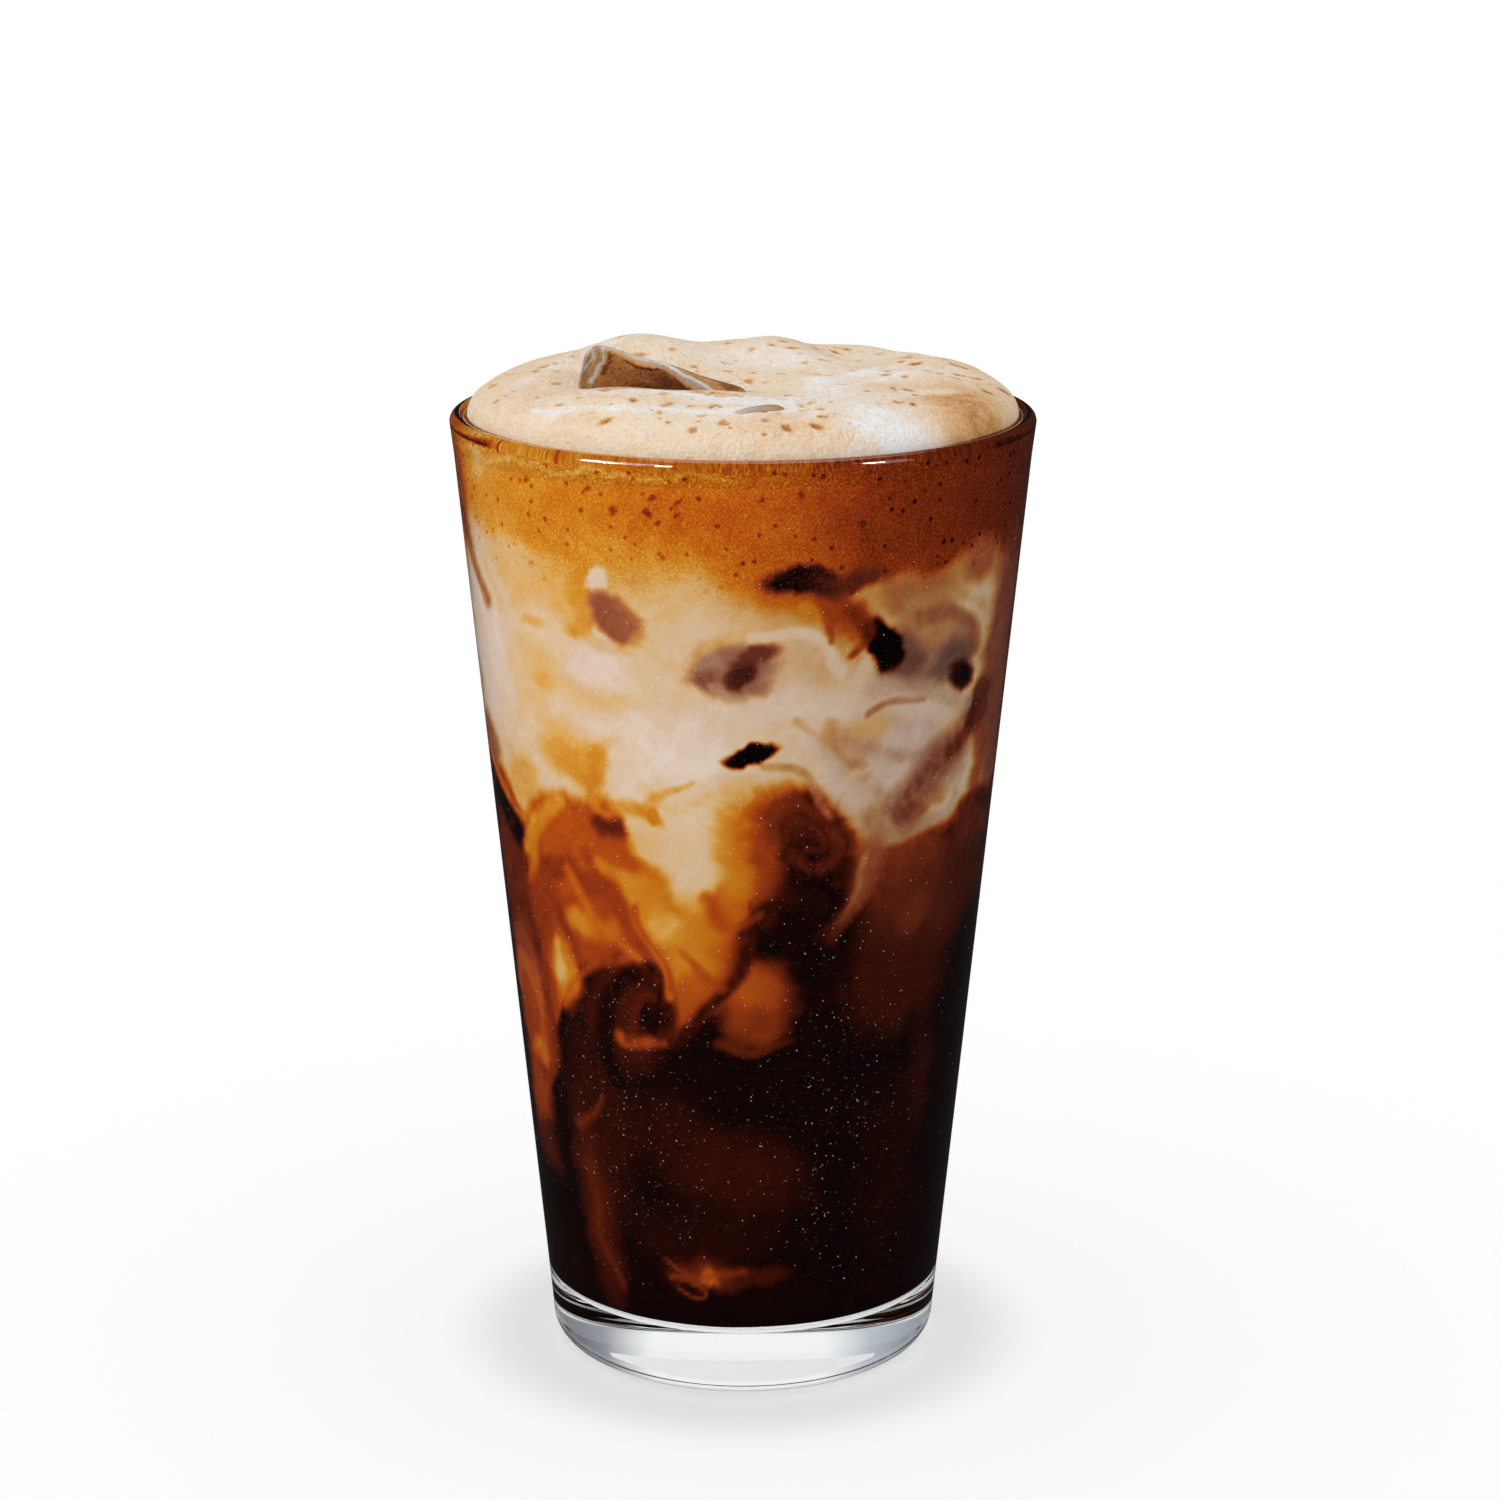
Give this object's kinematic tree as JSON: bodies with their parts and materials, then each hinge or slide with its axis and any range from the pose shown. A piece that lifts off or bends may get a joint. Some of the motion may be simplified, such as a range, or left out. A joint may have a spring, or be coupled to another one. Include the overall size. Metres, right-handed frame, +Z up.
{
  "type": "iced shaken espresso",
  "caption": "Layered iced espresso with milk, golden crema, a domed cap of froth and ice standing out of it, served in a tall tapered glass tumbler.",
  "frame": {"origin": "centre of the ring that the tumbler stands on", "axes": "+Z up along the tumbler's axis; the side that the picture shows faces -Y"},
  "size_m": [0.0888, 0.0888, 0.1614],
  "materials": {
    "clear_glass": "clear polished soda-lime glass",
    "espresso_coffee": "dark wet coffee with milk curling into it",
    "milk_cloud": "milk clouded with coffee",
    "golden_crema": "fine wet bubbles, golden brown",
    "pale_froth": "dry pale froth with open bubbles",
    "clear_ice": "clear wet melting ice"
  },
  "bodies": {
    "root": {"glass": "clear_glass", "espresso": "espresso_coffee", "milk": "milk_cloud", "crema": "golden_crema", "froth": "pale_froth", "ice_cube": "clear_ice", "ice_corner": "clear_ice"}
  },
  "joints": []
}
